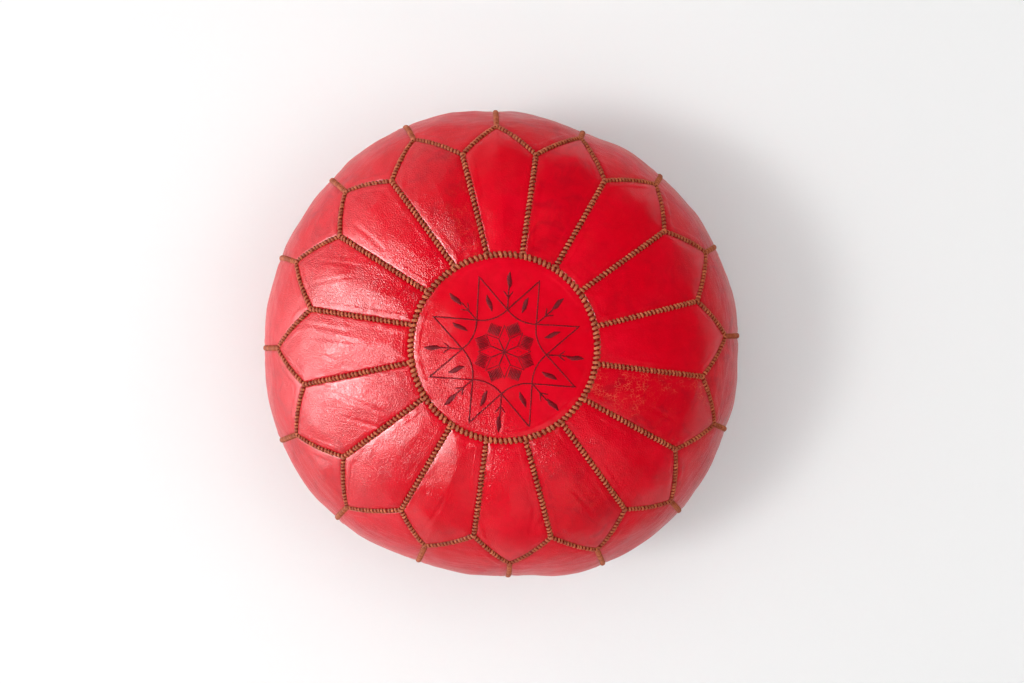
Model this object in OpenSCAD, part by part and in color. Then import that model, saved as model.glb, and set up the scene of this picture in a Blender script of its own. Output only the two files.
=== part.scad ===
// Moroccan leather pouf: a round floor cushion of sewn leather panels round a
// stuffed inner bag. +Z is up; the origin is the centre of its flat base, on
// the floor. The zip in the base runs along X.

/* [Pouf] */
// Widest diameter across the leather
pouf_d = 520; // [480:5:560]
// Height of the crown above the floor
pouf_h = 330; // [310:5:350]
// Height of the widest line above the floor
equator_h = 165; // [155:5:175]
// Power of the upper outline: 2 is an ellipse, more is squarer
crown_power = 2.5; // [2.3:0.1:2.8]
// Power of the lower outline
base_power = 3; // [2.7:0.1:3.3]
// Depth that the lower outline loses where the floor presses it flat
base_press = 15; // [12:1:18]

/* [Leather panels] */
// Thickness of the leather
leather_t = 1.6; // [1.2:0.2:2]
// Gap between the edges of two panels, under the seam
panel_gap = 0.4; // [0.2:0.1:0.6]
// Angle of the first seam between two top petals
first_seam_a = 13; // [0:0.5:22]
// Radius of the seam round the top medallion
medallion_r = 96; // [85:1:105]
// Radius of a top petal's shoulders, seen from above
shoulder_r = 204; // [195:1:210]
// Radius of a top petal's outer point, seen from above
peak_r = 235; // [228:1:240]
// Radius of the seam round the base disc
base_disc_r = 140; // [130:1:145]
// Radius of a base petal's shoulders, seen from below
base_shoulder_r = 215; // [205:1:220]
// Radius of a base petal's outer point, seen from below
base_peak_r = 243; // [236:1:246]

/* [Seams] */
// Width of the overcast seam round a disc
ring_seam_w = 7; // [5:0.5:8]
// Width of the overcast seam between two panels
seam_w = 5; // [4:0.5:6]
// Height of a seam above the leather
seam_h = 2.8; // [2:0.2:3.2]

/* [Embroidery] */
// Radius of the star's points
star_r = 78; // [70:1:80]
// Angle of the first star point
star_a = 18.5; // [0:0.5:44]
// Width of a line of embroidery
line_w = 1.2; // [1:0.1:1.6]
// Height of the embroidery above the leather
thread_h = 0.8; // [0.6:0.1:1]

/* [Zip] */
// Half the width of the recess that the zip lies in
recess_half_w = 9; // [8:0.5:10]
// Height of the recess above the floor
recess_h = 8; // [8:0.5:9]
// Length of the zip
zip_len = 264; // [240:2:264]
// Spacing of the coil teeth
tooth_pitch = 3; // [2.5:0.5:4]
// Length of the pull
pull_len = 24; // [18:1:26]

/* [Inside] */
// Thickness of the inner bag's cloth
bag_t = 1; // [0.6:0.2:1.4]
// Play between the cover, the inner bag and the stuffing
play = 0.4; // [0.3:0.1:0.6]

/* [Hidden] */
petals = 16;
pitch_a = 360 / petals;
first_peak_a = first_seam_a + pitch_a / 2;
equator_r = pouf_d / 2;
crown_h = pouf_h - equator_h;
base_h = equator_h + base_press;
outline_steps = 12;
reach = pouf_d;
seam_lift = 0.2;
seam_play = 0.2;
groove_h = 3;
groove_r = 172;
embroidery_lift = 0.1;
embroidery_centre = [-2, -6];
patch_gap = 0.4;
rays = 8;
ray_a = 360 / rays;
tape_t = 0.6;
tape_out_y = 20;
tape_z = recess_h + 0.2;
coil_in_y = 0.9;
coil_out_y = 3.4;
coil_h = 2.2;
coil_cord_w = 1;
coil_cord_inset = 0.4;
tooth_share = 0.6;
tooth_start = 0.2;
slider_play = 0.4;
slider_l = 12;
slider_plate_t = 1.3;
slider_wall_t = 0.9;
slider_wall_inset = 2;
slider_round_r = 7.2;
slider_x = zip_len / 2 - slider_l;
slider_half_w = coil_out_y + slider_play + slider_wall_t;
lower_plate_z = tape_z - coil_h - slider_play - slider_plate_t;
upper_plate_z = tape_z + tape_t + slider_play;
pull_pin_r = 0.7;
pull_eye_r = 1.4;
pull_pin_z = lower_plate_z - pull_eye_r - slider_play;
pull_t = 1.4;
pull_w = 6;
pull_neck_l = 4;
pull_overlap = 1;
pull_hole_inset = 0.5;
pull_hole_r = 1.6;
pin_play = 0.08;
lug_gap = 2.4;
lug_t = 1;
post_l = 1.5;
post_t = 1;
post_inset = 1;
channel_room = 2;
channel_half_w = tape_out_y + channel_room;
channel_h = upper_plate_z + slider_plate_t + 2 * slider_play;
channel_half_l = base_disc_r + channel_room;
$fn = 96;

function numbered(name) = [for (i = [1 : petals]) str(name, i < 10 ? "_0" : "_", i)];
top_petal_names = numbered("top_petal");
side_panel_names = numbered("side_panel");
base_petal_names = numbered("base_petal");

// A point at radius r and angle a
function polar(r, a) = [r * cos(a), r * sin(a)];

// A point of the upper outline grown by d, from t = 0 at the equator to 90 at the crown
function crown_point(d, t) = [
    (equator_r + d) * pow(cos(t), 2 / crown_power),
    equator_h + (crown_h + d) * pow(sin(t), 2 / crown_power)
];

// A point of the lower outline grown by d, from t = 0 at the equator down
function base_point(d, t) = [
    (equator_r + d) * pow(cos(t), 2 / base_power),
    equator_h - (base_h + d) * pow(sin(t), 2 / base_power)
];

// Where the lower outline grown by d meets its flat bottom
function base_end_t(d) = asin(pow((equator_h - bottom_z(d)) / (base_h + d), base_power / 2));
function bottom_z(d) = max(0, -d);

// Half the outline of the pouf grown by d, on the right of the axis
module half_outline(d) {
    crown = [for (i = [0 : outline_steps]) crown_point(d, 90 - 90 * i / outline_steps)];
    base = [for (i = [1 : outline_steps]) base_point(d, base_end_t(d) * i / outline_steps)];
    polygon(concat(crown, base, [[0, bottom_z(d)]]));
}

// Half the section of the leather, between two radii
module leather_section(r_in, r_out, upper) {
    intersection() {
        difference() {
            half_outline(0);
            half_outline(-leather_t);
        }
        translate([r_in, upper ? equator_h : 0]) square([r_out - r_in, equator_h + pouf_h]);
    }
}

// The zigzag line of the petals' ends, as a star-shaped outline
module star_outline(shoulder, peak) {
    polygon([
        for (i = [0 : petals - 1], tip = [0, 1])
            polar(tip ? peak : shoulder, first_seam_a + pitch_a * (i + tip / 2))
    ]);
}

// The plan of the seams on one side of the pouf, widened by extra
module seam_plan(ring_r, shoulder, peak, extra) {
    half = seam_w / 2 + extra;
    difference() {
        circle(ring_r + ring_seam_w / 2 + extra);
        circle(ring_r - ring_seam_w / 2 - extra);
    }
    difference() {
        star_outline(shoulder + half, peak + half);
        star_outline(shoulder - half, peak - half);
    }
    for (i = [0 : petals - 1]) {
        rotate(first_seam_a + pitch_a * i) translate([ring_r, -half]) square([shoulder - ring_r, 2 * half]);
        rotate(first_peak_a + pitch_a * i) translate([peak, -half]) square([reach - peak, 2 * half]);
    }
}

// The space between the leather grown by two distances
module grown_skin(inner, outer) {
    rotate_extrude() difference() {
        half_outline(outer);
        half_outline(inner);
    }
}

// The channel in the stuffing that leaves room for the zip, widened by extra
module zip_channel(extra) {
    translate([-channel_half_l - extra, -channel_half_w - extra, -1])
        cube([2 * (channel_half_l + extra), 2 * (channel_half_w + extra), channel_h + extra + 1]);
}

module top_medallion() {
    color("crimson") rotate_extrude() leather_section(0, medallion_r - panel_gap / 2, true);
}

module top_petal(i) {
    gap_a = asin(panel_gap / 2 / medallion_r);
    color("crimson") intersection() {
        rotate_extrude(angle = pitch_a - 2 * gap_a, start = first_seam_a + pitch_a * i + gap_a)
            leather_section(medallion_r + panel_gap / 2, equator_r, true);
        linear_extrude(pouf_h) star_outline(shoulder_r - panel_gap / 2, peak_r - panel_gap / 2);
    }
}

module side_panel(i) {
    gap_a = asin(panel_gap / 2 / peak_r);
    color("firebrick") difference() {
        rotate_extrude(angle = pitch_a - 2 * gap_a, start = first_peak_a + pitch_a * i + gap_a)
            difference() {
                leather_section(shoulder_r, equator_r, false);
                translate([shoulder_r, 0]) square([base_shoulder_r - shoulder_r, equator_h]);
            }
        translate([0, 0, equator_h]) linear_extrude(pouf_h)
            star_outline(shoulder_r + panel_gap / 2, peak_r + panel_gap / 2);
        translate([0, 0, -1]) linear_extrude(equator_h)
            star_outline(base_shoulder_r + panel_gap / 2, base_peak_r + panel_gap / 2);
    }
}

module base_petal(i) {
    gap_a = asin(panel_gap / 2 / base_disc_r);
    color("brown") difference() {
        intersection() {
            rotate_extrude(angle = pitch_a - 2 * gap_a, start = first_seam_a + pitch_a * i + gap_a)
                leather_section(base_disc_r, equator_r, false);
            linear_extrude(equator_h)
                star_outline(base_shoulder_r - panel_gap / 2, base_peak_r - panel_gap / 2);
        }
        base_seam_groove();
    }
}

// Where the seams lie in the flat base, level with the leather
module base_seam_groove() {
    translate([0, 0, -1]) linear_extrude(groove_h + 1)
        intersection() {
            seam_plan(base_disc_r, base_shoulder_r, base_peak_r, seam_play);
            circle(groove_r);
        }
}

// Half of the base disc, with its edge turned up along the zip; side is 1 or -1
module base_disc_half(side) {
    disc_r = base_disc_r - ring_seam_w / 2 - seam_play;
    flange_l = 2 * sqrt(pow(disc_r, 2) - pow(recess_half_w + leather_t, 2));
    color("brown") mirror([0, side < 0 ? 1 : 0, 0]) {
        intersection() {
            cylinder(h = leather_t, r = disc_r);
            translate([-reach, recess_half_w, 0]) cube([2 * reach, reach, leather_t]);
        }
        translate([-flange_l / 2, recess_half_w, 0]) cube([flange_l, leather_t, recess_h]);
    }
}

module base_disc_front() {
    base_disc_half(-1);
}

module base_disc_back() {
    base_disc_half(1);
}

module upper_seam_thread() {
    color("sienna") intersection() {
        grown_skin(seam_lift, seam_h);
        translate([0, 0, equator_h]) linear_extrude(pouf_h) seam_plan(medallion_r, shoulder_r, peak_r, 0);
    }
}

module lower_seam_thread() {
    color("sienna") {
        intersection() {
            grown_skin(seam_lift, seam_h);
            linear_extrude(equator_h) seam_plan(base_disc_r, base_shoulder_r, base_peak_r, 0);
        }
        linear_extrude(leather_t) intersection() {
            seam_plan(base_disc_r, base_shoulder_r, base_peak_r, 0);
            circle(groove_r - seam_h);
        }
    }
}

// A straight line of embroidery from p to q, short of each by inset
module stitch_line(p, q, inset = 0) {
    d = q - p;
    translate(p) rotate(atan2(d.y, d.x)) translate([inset, -line_w / 2])
        square([norm(d) - 2 * inset, line_w]);
}

// A satin-stitched leaf along X, between two radii
module leaf(r_in, r_out, w) {
    polygon([[r_in, 0], [(r_in + r_out) / 2, -w / 2], [r_out, 0], [(r_in + r_out) / 2, w / 2]]);
}

// One eighth of the embroidery, about its star point on X
module embroidery_ray() {
    cross_r = star_r * 0.54;
    bow_r = star_r * 0.45;
    rhomb_s = star_r * 0.18;
    sprig_a = ray_a / 2;
    // One strand, from this star point to the next but one
    strand = [
        [star_r, 0], polar(cross_r, sprig_a), polar(bow_r, ray_a),
        polar(cross_r, ray_a + sprig_a), polar(star_r, 2 * ray_a)
    ];
    for (i = [0 : 3]) stitch_line(strand[i], strand[i + 1]);
    leaf(star_r * 0.55, star_r * 0.76, star_r * 0.07);
    // A sprig between two star points
    rotate(sprig_a) {
        stitch_line([cross_r, 0], [star_r * 0.85, 0]);
        leaf(star_r * 0.82, star_r * 1.02, star_r * 0.07);
        for (side = [-1, 1]) stitch_line([star_r * 0.72, 0], [star_r * 0.78, side * star_r * 0.06]);
    }
    // The rosette: a spoke, the two outer sides of a rhombus, and a filled square clear of them
    spoke = [rhomb_s, 0];
    next_spoke = polar(rhomb_s, ray_a);
    stitch_line([0, 0], spoke);
    stitch_line(spoke, spoke + next_spoke, 2 * line_w);
    stitch_line(next_spoke, spoke + next_spoke, 2 * line_w);
    square_r = rhomb_s * (1 + cos(ray_a));
    translate([square_r, 0]) rotate(ray_a) square(rhomb_s - line_w - 2 * patch_gap, center = true);
}

module medallion_embroidery() {
    color("maroon") intersection() {
        rotate_extrude() intersection() {
            difference() {
                half_outline(thread_h);
                half_outline(embroidery_lift);
            }
            translate([0, equator_h]) square([medallion_r - ring_seam_w / 2, pouf_h]);
        }
        linear_extrude(2 * pouf_h) translate(embroidery_centre)
            for (i = [0 : rays - 1]) rotate(star_a + ray_a * i) embroidery_ray();
    }
}

// One side of the zip: its tape, and its row of coil teeth on a cord; side is 1 or -1
module zip_tape(side) {
    teeth = floor(zip_len / tooth_pitch);
    color("darkred") mirror([0, side < 0 ? 1 : 0, 0]) {
        translate([-zip_len / 2, coil_in_y, tape_z]) cube([zip_len, tape_out_y - coil_in_y, tape_t]);
        translate([-zip_len / 2, coil_out_y - coil_cord_w, tape_z - coil_h + coil_cord_inset])
            cube([zip_len, coil_cord_w, coil_h - coil_cord_inset]);
        for (i = [0 : teeth - 1])
            translate([tooth_pitch * (i + tooth_start) - zip_len / 2, coil_in_y, tape_z - coil_h])
                cube([tooth_pitch * tooth_share, coil_out_y - coil_in_y, coil_h]);
    }
}

module zip_tape_front() {
    zip_tape(-1);
}

module zip_tape_back() {
    zip_tape(1);
}

// A plate of the slider, rounded at its ends
module slider_plate() {
    intersection() {
        translate([0, -slider_half_w, 0]) cube([slider_l, 2 * slider_half_w, slider_plate_t]);
        translate([slider_l / 2, 0, 0]) cylinder(h = slider_plate_t, r = slider_round_r);
    }
}

module zip_slider() {
    // The walls end clear of the tape, as far as the lower plate is clear of the teeth
    wall_h = slider_plate_t + coil_h;
    lug_y = lug_gap / 2 + lug_t / 2;
    wall_y = slider_half_w - slider_wall_t / 2;
    color("darkgoldenrod") translate([slider_x - slider_l / 2, 0, 0]) {
        translate([0, 0, lower_plate_z]) slider_plate();
        translate([0, 0, upper_plate_z]) slider_plate();
        // The post between the two tapes, which joins the plates
        translate([slider_l - post_l - post_inset, -post_t / 2, lower_plate_z])
            cube([post_l, post_t, upper_plate_z - lower_plate_z + slider_plate_t]);
        // The walls that close round the teeth
        for (side = [-1, 1])
            translate([slider_wall_inset, side * wall_y - slider_wall_t / 2, lower_plate_z])
                cube([slider_l - 2 * slider_wall_inset, slider_wall_t, wall_h]);
    }
    // The two lugs under the slider, and the pin that the pull hangs on
    color("goldenrod") translate([slider_x, 0, pull_pin_z]) {
        for (side = [-1, 1]) translate([0, side * lug_y, 0]) {
            translate([-pull_eye_r, -lug_t / 2, 0]) cube([2 * pull_eye_r, lug_t, lower_plate_z - pull_pin_z]);
            rotate([90, 0, 0]) cylinder(h = lug_t, r = pull_eye_r, center = true);
        }
        rotate([90, 0, 0]) cylinder(h = lug_gap + 2 * lug_t, r = pull_pin_r, center = true);
    }
}

module zip_pull() {
    eye_w = lug_gap - slider_play;
    tip_x = pull_w / 2 - pull_len;
    color("goldenrod") translate([slider_x, 0, pull_pin_z]) difference() {
        union() {
            rotate([90, 0, 0]) cylinder(h = eye_w, r = pull_eye_r, center = true);
            translate([-pull_neck_l - pull_overlap, -eye_w / 2, -pull_t / 2])
                cube([pull_neck_l + pull_overlap, eye_w, pull_t]);
            translate([tip_x, 0, -pull_t / 2]) cylinder(h = pull_t, r = pull_w / 2);
            translate([tip_x, -pull_w / 2, -pull_t / 2]) cube([-tip_x - pull_neck_l, pull_w, pull_t]);
        }
        rotate([90, 0, 0]) cylinder(h = pull_w, r = pull_pin_r + pin_play, center = true);
        translate([tip_x + pull_hole_inset, 0, -pull_t]) cylinder(h = 2 * pull_t, r = pull_hole_r);
    }
}

module inner_bag() {
    outer = -(leather_t + play);
    inner = outer - bag_t;
    color("linen") difference() {
        rotate_extrude() half_outline(outer);
        zip_channel(0);
        difference() {
            rotate_extrude() half_outline(inner);
            zip_channel(bag_t);
        }
    }
}

module stuffing() {
    color("ivory") difference() {
        rotate_extrude() half_outline(-(leather_t + 2 * play + bag_t));
        zip_channel(bag_t + play);
    }
}

top_medallion();
medallion_embroidery();
for (i = [0 : petals - 1]) top_petal(i);
for (i = [0 : petals - 1]) side_panel(i);
for (i = [0 : petals - 1]) base_petal(i);
base_disc_front();
base_disc_back();
upper_seam_thread();
lower_seam_thread();
zip_tape_front();
zip_tape_back();
zip_slider();
zip_pull();
inner_bag();
stuffing();
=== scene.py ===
"""A stuffed leather pouf, sewn from petals and side panels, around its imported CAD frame.

Every leather panel is a fine grid laid on the pouf's outline between its seams, raised into a soft
crown and folded down at its edges. The seams are real overcast stitches, thread by thread.
"""

import math

import bpy
import numpy as np
from mathutils import Euler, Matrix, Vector


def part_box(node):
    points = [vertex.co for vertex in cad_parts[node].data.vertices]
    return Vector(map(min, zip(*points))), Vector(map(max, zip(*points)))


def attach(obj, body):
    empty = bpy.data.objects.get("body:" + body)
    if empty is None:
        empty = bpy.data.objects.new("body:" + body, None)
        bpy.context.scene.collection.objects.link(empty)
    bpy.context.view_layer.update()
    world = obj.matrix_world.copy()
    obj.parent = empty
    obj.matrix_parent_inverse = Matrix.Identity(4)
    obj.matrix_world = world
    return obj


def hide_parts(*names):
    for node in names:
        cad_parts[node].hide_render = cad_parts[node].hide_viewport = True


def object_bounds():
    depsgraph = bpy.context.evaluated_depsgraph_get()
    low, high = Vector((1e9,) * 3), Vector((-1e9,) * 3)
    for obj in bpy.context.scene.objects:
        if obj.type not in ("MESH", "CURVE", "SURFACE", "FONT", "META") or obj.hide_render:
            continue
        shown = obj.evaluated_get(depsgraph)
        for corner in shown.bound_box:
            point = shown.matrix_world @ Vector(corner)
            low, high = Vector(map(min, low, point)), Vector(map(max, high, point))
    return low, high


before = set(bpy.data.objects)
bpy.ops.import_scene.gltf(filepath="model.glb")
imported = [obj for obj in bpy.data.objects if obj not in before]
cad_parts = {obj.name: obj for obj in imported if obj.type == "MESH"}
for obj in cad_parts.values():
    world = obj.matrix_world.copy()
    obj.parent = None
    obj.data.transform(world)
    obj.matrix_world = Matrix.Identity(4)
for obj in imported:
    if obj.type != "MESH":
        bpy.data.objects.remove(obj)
cad_low, cad_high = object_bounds()

# -------- sizes, in metres and degrees
MM = 0.001
PETALS = 16
PITCH = 360 / PETALS
FIRST_SEAM = 13.0
SEAM_H = 2.8 * MM
CROWN_POWER = 2.5
BASE_POWER = 3.0
BASE_PRESS = 15 * MM
MEDALLION_R = 94.7 * MM
SHOULDER_R = 204 * MM
PEAK_R = 235 * MM
BASE_DISC_R = 140 * MM
BASE_SHOULDER_R = 215 * MM
BASE_PEAK_R = 243 * MM
LEATHER_T = 1.3 * MM

EQUATOR_R = (cad_high.x - cad_low.x) / 2 - SEAM_H
EQUATOR_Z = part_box("upper_seam_thread")[0].z
CROWN_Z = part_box("top_medallion")[1].z

# How the hand-sewn cover strays from an even one: the medallion lies off the axis, and each seam's
# ends are turned (degrees) or moved out (mm) from their even places, counted round from the first.
MEDALLION_AT = np.array([-2.8, -1.8]) * MM
RING_TURN = (0, 1, -0.5, -1.5, -2.5, -4, -4, -4.5, -4, -3.5, -2.5, -1.5, 0, 2, -1, -0.5)
SHOULDER_TURN = (0, 0.2, 1, 0.5, -0.2, -0.7, -1.4, -1.1, -2, -1, -0.5, 0, 0.3, 0.5, 0.5, 0.5)
SHOULDER_OUT = (1, -0.5, -4.5, -4, -1.5, 3, 1.5, 0.5, 8.5, -0.5, -2, -4, 1, 7.5, 3.5, 4)
PEAK_TURN = (0.5, 0, 0.5, 0.4, -0.4, -0.7, -1, -1, -1, -1, -1, -0.5, 0, 0, 0, 0.5)
PEAK_OUT = (-0.5, -1.5, -1, -4.5, 1.5, -3, 1, 4, 3.5, 3.5, -8, -4.5, 2.5, 7.5, 3, -0.5)

# How dull each top petal's dye has become, from fresh to dull
DULL = (0.35, 0.1, 0.6, 0.05, 0.8, 0.15, 0.5, 0.3, 0.4, 0.4, 0.35, 0.15, 0.7, 0.3, 0.95, 0.2)

# How coarse the hide's grain is on each top petal
GRAIN = (0.5, 0.4, 0.4, 0.4, 0.8, 1, 1, 1, 1, 0.75, 0.55, 0.6, 0.8, 0.8, 0.7, 0.45)
SIDE_GRAIN = 0.55
BASE_GRAIN = 0.8

# Each kind of panel's crown, and how far in from its seams it has mostly risen
TOP_PETAL_FORM = (4.0 * MM, 20 * MM)
BASE_PETAL_FORM = (2.5 * MM, 20 * MM)
SIDE_FORM = (1.6 * MM, 14 * MM)
DISC_FORM = (3.0 * MM, 24 * MM)
MEDALLION_SEED = 7

# How far the stuffing pushes the widest line out (mm) at each side seam
BULGE = (-3.5, -7, -12, -5, 1, -0.5, 0, 0, 4, 3, -5.5, -6, 6, 8, 2.5, -1)
BULGE_H = 130 * MM

rng = np.random.default_rng(16)


# -------- the pouf's outline
def outline():
    """The half outline from the crown to the middle of the base: radius, height, and distance down it."""
    t = np.linspace(math.pi / 2, 0, 400)
    crown_r = EQUATOR_R * np.cos(t).clip(0) ** (2 / CROWN_POWER)
    crown_z = EQUATOR_Z + (CROWN_Z - EQUATOR_Z) * np.sin(t) ** (2 / CROWN_POWER)
    base_h = EQUATOR_Z + BASE_PRESS
    t = np.linspace(0, math.asin((EQUATOR_Z / base_h) ** (BASE_POWER / 2)), 400)[1:]
    base_r = EQUATOR_R * np.cos(t) ** (2 / BASE_POWER)
    base_z = EQUATOR_Z - base_h * np.sin(t) ** (2 / BASE_POWER)
    r = np.concatenate([crown_r, base_r, np.linspace(base_r[-1], 0, 60)[1:]])
    z = np.concatenate([crown_z, base_z, np.zeros(59)])
    down = np.concatenate([[0], np.cumsum(np.hypot(np.diff(r), np.diff(z)))])
    return r, z, down


OUT_R, OUT_Z, OUT_S = outline()
EVEN_S = np.linspace(0, OUT_S[-1], 1200)
EVEN_R, EVEN_Z = np.interp(EVEN_S, OUT_S, OUT_R), np.interp(EVEN_S, OUT_S, OUT_Z)
BLUR = np.hanning(15) / np.hanning(15).sum()
TURN_R = np.convolve(np.pad(-np.gradient(EVEN_Z, EVEN_S), 7, mode="edge"), BLUR, "valid")
TURN_Z = np.convolve(np.pad(np.gradient(EVEN_R, EVEN_S), 7, mode="edge"), BLUR, "valid")
WIDEST = int(np.argmax(EVEN_R))
EQUATOR_S = EVEN_S[WIDEST]
FLOOR_S = OUT_S[-60]


def down_to(r, base=False):
    """How far down the outline its radius is r, on the crown's side or the base's."""
    if base:
        return np.interp(-r, -EVEN_R[WIDEST:], EVEN_S[WIDEST:])
    return np.interp(r, EVEN_R[: WIDEST + 1], EVEN_S[: WIDEST + 1])


def smooth(x):
    """0 to 1 as x goes from 0 to 1, with no corner at either end."""
    x = np.clip(x, 0, 1)
    return x * x * (3 - 2 * x)


def half_turn(angle):
    """The same angle, within half a turn of 0."""
    return (angle + math.pi) % (2 * math.pi) - math.pi


def unit(vectors):
    return vectors / np.linalg.norm(vectors, axis=1)[:, None]


def swell(angle, s):
    """How far the stuffing pushes the cover out there, beyond the even outline."""
    out = 0
    for k, bulge in enumerate(BULGE):
        away = (np.degrees(angle) - FIRST_SEAM - PITCH * (k + 0.5) + 180) % 360 - 180
        out = out + bulge * MM * np.cos(math.pi / 2 * np.clip(away / PITCH, -1, 1)) ** 2
    return out * np.exp(-(((s - EQUATOR_S) / BULGE_H) ** 2))


def resting(s):
    """How far the cover is pressed by the floor there: 0 on the sides to 1 underneath."""
    return smooth((s - FLOOR_S + 20 * MM) / (30 * MM))


def on_pouf(angle, s, height=0.0):
    """Points at those angles and distances down the outline, raised by height along its normal."""
    r = np.interp(s, EVEN_S, EVEN_R) + swell(angle, s) + height * np.interp(s, EVEN_S, TURN_R)
    z = np.interp(s, EVEN_S, EVEN_Z) + height * np.interp(s, EVEN_S, TURN_Z)
    return np.stack([r * np.cos(angle), r * np.sin(angle), z], -1)


def plan_to_pouf(plan, base=False):
    """(angle, distance down the outline) of points seen in plan."""
    angle, r = np.arctan2(plan[..., 1], plan[..., 0]), np.hypot(plan[..., 0], plan[..., 1])
    s = down_to(r, base)
    for _ in range(4):
        s = down_to(r - swell(angle, s), base)
    return angle, s


def polar(r, degrees):
    a = np.radians(degrees)
    return np.stack([r * np.cos(a), r * np.sin(a)], -1)


# -------- where the seams meet, in plan
SEAM_AT = FIRST_SEAM + PITCH * np.arange(PETALS)
PEAK_AT = SEAM_AT + PITCH / 2
PETAL_BOW = 0.05


def strays(out):
    """Sixteen small seeded offsets, for the underside."""
    return rng.uniform(-out, out, PETALS)


RING_ENDS = MEDALLION_AT + polar(MEDALLION_R, SEAM_AT + RING_TURN)
SHOULDERS = polar(SHOULDER_R + MM * np.array(SHOULDER_OUT), SEAM_AT + SHOULDER_TURN)
PEAKS = polar(PEAK_R + MM * np.array(PEAK_OUT), PEAK_AT + PEAK_TURN)
BASE_RING_ENDS = polar(BASE_DISC_R, SEAM_AT + strays(1))
BASE_SHOULDERS = polar(BASE_SHOULDER_R + strays(3 * MM), SEAM_AT + strays(1))
BASE_PEAKS = polar(BASE_PEAK_R + strays(3 * MM), PEAK_AT + strays(0.8))

# Each face's disc (its centre and radius) and the corners of its petals
TOP_FACE = (MEDALLION_AT, MEDALLION_R, RING_ENDS, SHOULDERS, PEAKS)
BASE_FACE = (np.zeros(2), BASE_DISC_R, BASE_RING_ENDS, BASE_SHOULDERS, BASE_PEAKS)


def bowed(p, q, share, bow=0.0):
    """Points at those shares of the way from p to q in plan, on a line that bows out from the middle."""
    share = share[:, None]
    outward = (p + q) / np.linalg.norm(p + q)
    return p + (q - p) * share + outward * bow * np.linalg.norm(q - p) * 4 * share * (1 - share)


def zigzag(first, middle, last, share):
    """Points along two bowed lines that meet at middle, at those shares of the way."""
    near = bowed(first, middle, share * 2, PETAL_BOW)
    far = bowed(middle, last, share * 2 - 1, PETAL_BOW)
    return np.where(share[:, None] < 0.5, near, far)


def arc(centre, p, q, share):
    """Points along the circle about centre from p to q."""
    a = math.atan2(*(p - centre)[::-1])
    turn = half_turn(math.atan2(*(q - centre)[::-1]) - a)
    r = np.linalg.norm(p - centre)
    return centre + polar(r, np.degrees(a + turn * share))


def between(p, q, share):
    """(angle, distance) pairs along a side seam, from a top peak p down to a base peak q."""
    (a, s), (b, e) = plan_to_pouf(p), plan_to_pouf(q, True)
    return np.stack([a + half_turn(b - a) * share, s + (e - s) * share], -1)


# -------- grids between four edges
EDGE_STEPS = np.array([0, 0.7, 1.2, 1.6, 2.0, 2.5, 3.0, 3.6, 4.3, 5.1, 6.1, 7.4, 9.0]) * MM
DETAIL = 1.4 * MM


def spaced(length):
    """Shares of the way across a panel: close together along its edges, even between them."""
    n = max(8, round((length - 2 * EDGE_STEPS[-1]) / DETAIL))
    middle = np.linspace(EDGE_STEPS[-1], length - EDGE_STEPS[-1], n)[1:-1]
    return np.concatenate([EDGE_STEPS, middle, length - EDGE_STEPS[::-1]]) / length


def patch(u, v, start, end, left, right):
    """A grid of points between four lines: start and end run along u, left and right along v."""
    u, v = u[None, :, None], v[:, None, None]
    across = (1 - v) * start[None] + v * end[None]
    along = (1 - u) * left[:, None] + u * right[:, None]
    corners = (1 - v) * ((1 - u) * start[0] + u * start[-1]) + v * ((1 - u) * end[0] + u * end[-1])
    return across + along - corners


def drawn_round(a, b):
    """A square of points from (-1, -1) to (1, 1), drawn out into a disc."""
    return np.stack([a * np.sqrt(1 - b * b / 2), b * np.sqrt(1 - a * a / 2)], -1)


def grid_faces(rows, columns):
    """The faces of a grid of points, row after row."""
    k = np.arange(rows * columns).reshape(rows, columns)
    return np.stack([k[:-1, :-1], k[:-1, 1:], k[1:, 1:], k[1:, :-1]], -1).reshape(-1, 4)


def closed_faces(rings, sides, start=0):
    """The faces between rings of points numbered from start, closed by the two points that come next."""
    k = start + np.arange(rings * sides).reshape(rings, sides)
    after = np.roll(k, -1, axis=1)
    faces = np.stack([k[:-1], after[:-1], after[1:], k[1:]], -1).reshape(-1, 4).tolist()
    end = start + rings * sides
    for i in range(sides):
        faces.append([after[0, i], k[0, i], end])
        faces.append([k[-1, i], after[-1, i], end + 1])
    return faces


def distance_to(points, line):
    """How far each point is from a line of points."""
    nearest = np.full(len(points), 1e9)
    for a, b in zip(line[:-1], line[1:]):
        way = b - a
        share = np.clip((points - a) @ way / max(way @ way, 1e-18), 0, 1)
        gap = points - a - share[:, None] * way
        nearest = np.minimum(nearest, (gap * gap).sum(1))
    return np.sqrt(nearest)


# -------- relief of the leather
def waves(points, size, seed):
    """A smooth random relief, about 1 high, with bumps of about that size."""
    draw, count = np.random.default_rng(seed), 14
    way = unit(draw.normal(size=(count, 3)))
    way *= 2 * math.pi / (size * draw.uniform(0.7, 1.8, count))[:, None]
    return np.cos(points @ way.T + draw.uniform(0, 2 * math.pi, count)).sum(1) * math.sqrt(2 / count)


# Height and size of the leather's soft waves: where it is slack, all over, and where the stitches pull
SLACK_WAVES = (0.55 * MM, 55 * MM)
FINE_WAVES = (0.09 * MM, 17 * MM)
PUCKERS = (0.13 * MM, 11 * MM)

# The edge turned down at the seam, and the seam allowance that shows through beside it
FOLD_DEPTH = 2.6 * MM
FOLD_W = 3.4 * MM
FOLD_START = 1.0 * MM
ALLOWANCE_W = 10.5 * MM
ALLOWANCE_H = 0.45 * MM

# How far the floor presses the leather and the seams in
FLOOR_SINK = 1.6 * MM
SEAM_SINK = 1.9 * MM


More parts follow.
